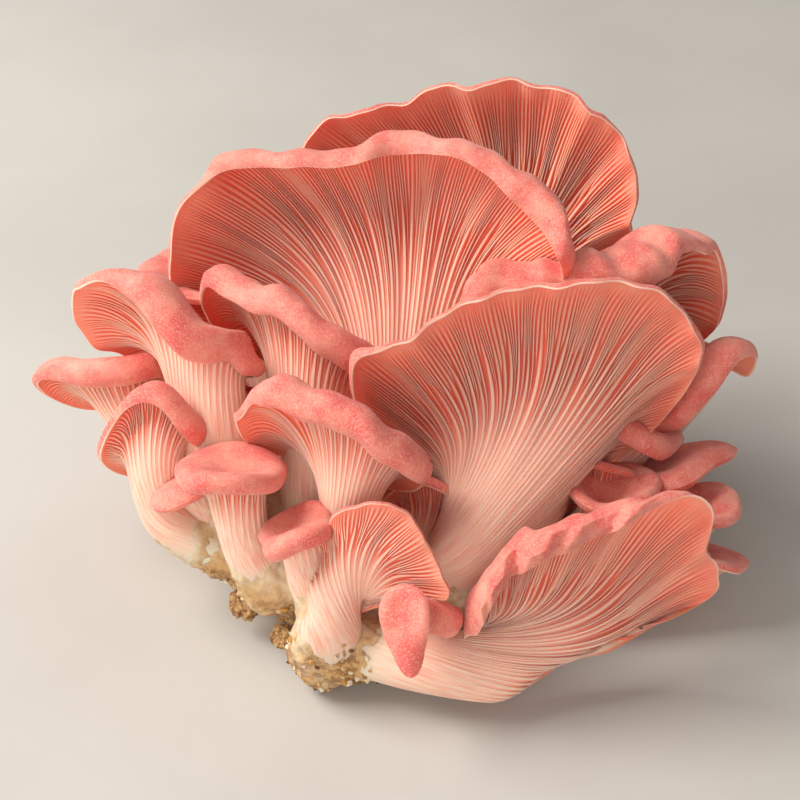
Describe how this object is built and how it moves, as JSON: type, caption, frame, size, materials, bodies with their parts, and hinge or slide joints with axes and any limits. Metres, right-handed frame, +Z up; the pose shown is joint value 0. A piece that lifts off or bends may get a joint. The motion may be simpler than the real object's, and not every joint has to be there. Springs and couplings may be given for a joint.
{
  "type": "oyster mushroom cluster",
  "caption": "Cluster of fan-shaped pink oyster mushrooms with gilled undersides, grown from one clump of mycelium, as picked.",
  "frame": {"origin": "on the surface the cluster rests on, under the middle of its bounding box", "axes": "+Z up; +X along the cluster's width, towards the lowest fan's tip; the gilled sides face -Y"},
  "size_m": [0.1884, 0.1466, 0.1076],
  "materials": {
    "mushroom_flesh": "matt, velvety cap and pleated gills",
    "mycelium": "matt, felted",
    "substrate": "rough, dry"
  },
  "bodies": {
    "root": {"front_fan": "mushroom_flesh", "upper_fan": "mushroom_flesh", "back_fan": "mushroom_flesh", "right_rolled": "mushroom_flesh", "low_fan": "mushroom_flesh", "left_tall": "mushroom_flesh", "left_far": "mushroom_flesh", "left_low": "mushroom_flesh", "front_button": "mushroom_flesh", "mid_left": "mushroom_flesh", "mid_centre": "mushroom_flesh", "small_fan": "mushroom_flesh", "curl_button": "mushroom_flesh", "finger": "mushroom_flesh", "right_curled": "mushroom_flesh", "right_pointed": "mushroom_flesh", "right_fuzzy": "mushroom_flesh", "right_tip": "mushroom_flesh", "low_tip": "mushroom_flesh", "left_flap": "mushroom_flesh", "between_small": "mushroom_flesh", "right_inner": "mushroom_flesh", "right_crescent": "mushroom_flesh", "inner_dark": "mushroom_flesh", "button_left": "mushroom_flesh", "back_low": "mushroom_flesh", "back_left": "mushroom_flesh", "back_button": "mushroom_flesh", "mycelium_clump": "mycelium", "substrate_crumb_1": "substrate", "substrate_crumb_2": "substrate", "substrate_crumb_3": "substrate", "substrate_crumb_4": "substrate", "substrate_crumb_5": "substrate"}
  },
  "joints": []
}
